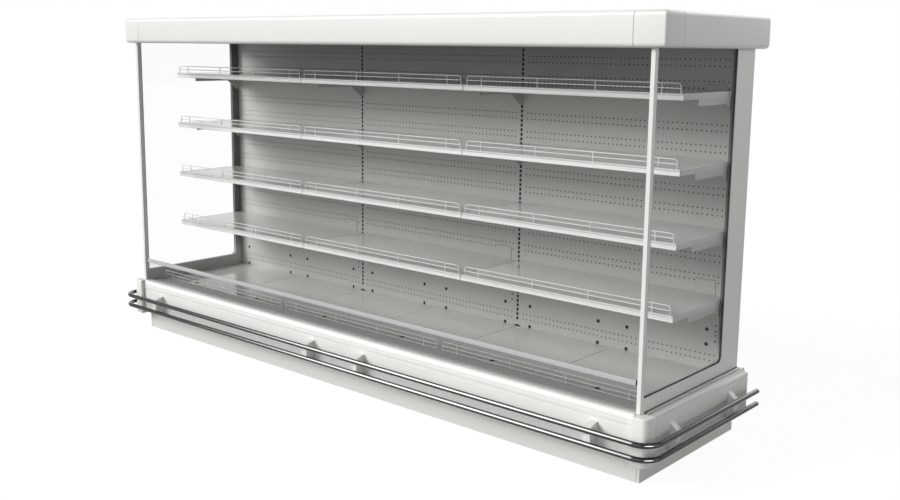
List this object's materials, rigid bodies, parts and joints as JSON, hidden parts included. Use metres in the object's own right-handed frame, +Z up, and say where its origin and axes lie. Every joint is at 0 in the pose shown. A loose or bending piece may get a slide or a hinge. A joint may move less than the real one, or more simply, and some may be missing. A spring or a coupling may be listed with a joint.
{
  "type": "open multideck display fridge",
  "caption": "Long open-fronted refrigerated wall case with glazed ends, hook-on shelves with price rails, lift-out deck trays, low front glass and tubular bumper rails round the base.",
  "frame": {"origin": "on the floor, under the centre of the bounding box", "axes": "+X along the length of the case to the customer's right, +Y towards the back, +Z up"},
  "size_m": [4.033, 1.0526, 2.044],
  "materials": {
    "moulding": "satin",
    "canopy_metal": "satin",
    "panel_white": "satin",
    "sandwich_panel": "satin",
    "plinth_board": "satin",
    "polished_steel": "polished",
    "bracket_moulding": "satin",
    "price_rail": "satin",
    "wire": "polished",
    "gasket": "matte",
    "end_glass": "polished",
    "front_glass": "polished",
    "capping_metal": "satin",
    "lamp": "satin",
    "grid_plastic": "satin",
    "foot_metal": "matte",
    "galvanised": "satin",
    "coil_fins": "satin",
    "fan_plastic": "matte"
  },
  "bodies": {
    "case": {"base_tub": "sandwich_panel", "levelling_feet": "foot_metal", "plinth_boards": "plinth_board", "front_panel": "moulding", "side_panels": "moulding", "corner_blocks": "moulding", "bumper_rails": "polished_steel", "bumper_brackets": "bracket_moulding", "rear_wall": "sandwich_panel", "duct_panels": "panel_white", "slotted_uprights": "panel_white", "shelf_brackets": "panel_white", "canopy_roof": "sandwich_panel", "canopy_fascia": "canopy_metal", "canopy_corner_caps": "moulding", "canopy_side_covers": "moulding", "air_honeycombs": "grid_plastic", "lamp_bars": "lamp", "end_frames": "sandwich_panel", "window_gaskets": "gasket", "end_glasses": "end_glass", "front_glass": "front_glass", "glass_capping": "capping_metal", "deck_wire_guards": "wire", "return_air_cover": "panel_white", "evaporator_coils": "coil_fins", "fan_tray": "galvanised"},
    "shelf_r1_c1": {"shelf_pan_r1_c1": "panel_white", "shelf_front_r1_c1": "price_rail"},
    "shelf_r1_c2": {"shelf_pan_r1_c2": "panel_white", "shelf_front_r1_c2": "price_rail"},
    "shelf_r1_c3": {"shelf_pan_r1_c3": "panel_white", "shelf_front_r1_c3": "price_rail"},
    "shelf_r2_c1": {"shelf_pan_r2_c1": "panel_white", "shelf_front_r2_c1": "price_rail"},
    "shelf_r2_c2": {"shelf_pan_r2_c2": "panel_white", "shelf_front_r2_c2": "price_rail"},
    "shelf_r2_c3": {"shelf_pan_r2_c3": "panel_white", "shelf_front_r2_c3": "price_rail"},
    "shelf_r3_c1": {"shelf_pan_r3_c1": "panel_white", "shelf_front_r3_c1": "price_rail"},
    "shelf_r3_c2": {"shelf_pan_r3_c2": "panel_white", "shelf_front_r3_c2": "price_rail"},
    "shelf_r3_c3": {"shelf_pan_r3_c3": "panel_white", "shelf_front_r3_c3": "price_rail"},
    "shelf_r4_c1": {"shelf_pan_r4_c1": "panel_white", "shelf_front_r4_c1": "price_rail"},
    "shelf_r4_c2": {"shelf_pan_r4_c2": "panel_white", "shelf_front_r4_c2": "price_rail"},
    "shelf_r4_c3": {"shelf_pan_r4_c3": "panel_white", "shelf_front_r4_c3": "price_rail"},
    "deck_tray_1": {"deck_panel_1": "panel_white"},
    "deck_tray_2": {"deck_panel_2": "panel_white"},
    "deck_tray_3": {"deck_panel_3": "panel_white"},
    "deck_tray_4": {"deck_panel_4": "panel_white"},
    "deck_tray_5": {"deck_panel_5": "panel_white"},
    "deck_tray_6": {"deck_panel_6": "panel_white"},
    "fan_1": {"fan_rotor_1": "fan_plastic"},
    "fan_2": {"fan_rotor_2": "fan_plastic"},
    "fan_3": {"fan_rotor_3": "fan_plastic"}
  },
  "joints": [
    {"name": "shelf_lift_r1_c1", "type": "slide", "parent": "case", "child": "shelf_r1_c1", "axis": [0, 0, 1], "range_m": [0, 0.06]},
    {"name": "shelf_lift_r1_c2", "type": "slide", "parent": "case", "child": "shelf_r1_c2", "axis": [0, 0, 1], "range_m": [0, 0.06]},
    {"name": "shelf_lift_r1_c3", "type": "slide", "parent": "case", "child": "shelf_r1_c3", "axis": [0, 0, 1], "range_m": [0, 0.06]},
    {"name": "shelf_lift_r2_c1", "type": "slide", "parent": "case", "child": "shelf_r2_c1", "axis": [0, 0, 1], "range_m": [0, 0.06]},
    {"name": "shelf_lift_r2_c2", "type": "slide", "parent": "case", "child": "shelf_r2_c2", "axis": [0, 0, 1], "range_m": [0, 0.06]},
    {"name": "shelf_lift_r2_c3", "type": "slide", "parent": "case", "child": "shelf_r2_c3", "axis": [0, 0, 1], "range_m": [0, 0.06]},
    {"name": "shelf_lift_r3_c1", "type": "slide", "parent": "case", "child": "shelf_r3_c1", "axis": [0, 0, 1], "range_m": [0, 0.06]},
    {"name": "shelf_lift_r3_c2", "type": "slide", "parent": "case", "child": "shelf_r3_c2", "axis": [0, 0, 1], "range_m": [0, 0.06]},
    {"name": "shelf_lift_r3_c3", "type": "slide", "parent": "case", "child": "shelf_r3_c3", "axis": [0, 0, 1], "range_m": [0, 0.06]},
    {"name": "shelf_lift_r4_c1", "type": "slide", "parent": "case", "child": "shelf_r4_c1", "axis": [0, 0, 1], "range_m": [0, 0.06]},
    {"name": "shelf_lift_r4_c2", "type": "slide", "parent": "case", "child": "shelf_r4_c2", "axis": [0, 0, 1], "range_m": [0, 0.06]},
    {"name": "shelf_lift_r4_c3", "type": "slide", "parent": "case", "child": "shelf_r4_c3", "axis": [0, 0, 1], "range_m": [0, 0.06]},
    {"name": "deck_lift_1", "type": "slide", "parent": "case", "child": "deck_tray_1", "axis": [0, 0, 1], "range_m": [0, 0.15]},
    {"name": "deck_lift_2", "type": "slide", "parent": "case", "child": "deck_tray_2", "axis": [0, 0, 1], "range_m": [0, 0.15]},
    {"name": "deck_lift_3", "type": "slide", "parent": "case", "child": "deck_tray_3", "axis": [0, 0, 1], "range_m": [0, 0.15]},
    {"name": "deck_lift_4", "type": "slide", "parent": "case", "child": "deck_tray_4", "axis": [0, 0, 1], "range_m": [0, 0.15]},
    {"name": "deck_lift_5", "type": "slide", "parent": "case", "child": "deck_tray_5", "axis": [0, 0, 1], "range_m": [0, 0.15]},
    {"name": "deck_lift_6", "type": "slide", "parent": "case", "child": "deck_tray_6", "axis": [0, 0, 1], "range_m": [0, 0.15]},
    {"name": "fan_spin_1", "type": "hinge", "parent": "case", "child": "fan_1", "pos_m": [-1.25, -0.20375, 0.26], "axis": [0, 0, 1], "continuous": true},
    {"name": "fan_spin_2", "type": "hinge", "parent": "case", "child": "fan_2", "pos_m": [0, -0.20375, 0.26], "axis": [0, 0, 1], "continuous": true},
    {"name": "fan_spin_3", "type": "hinge", "parent": "case", "child": "fan_3", "pos_m": [1.25, -0.20375, 0.26], "axis": [0, 0, 1], "continuous": true}
  ]
}
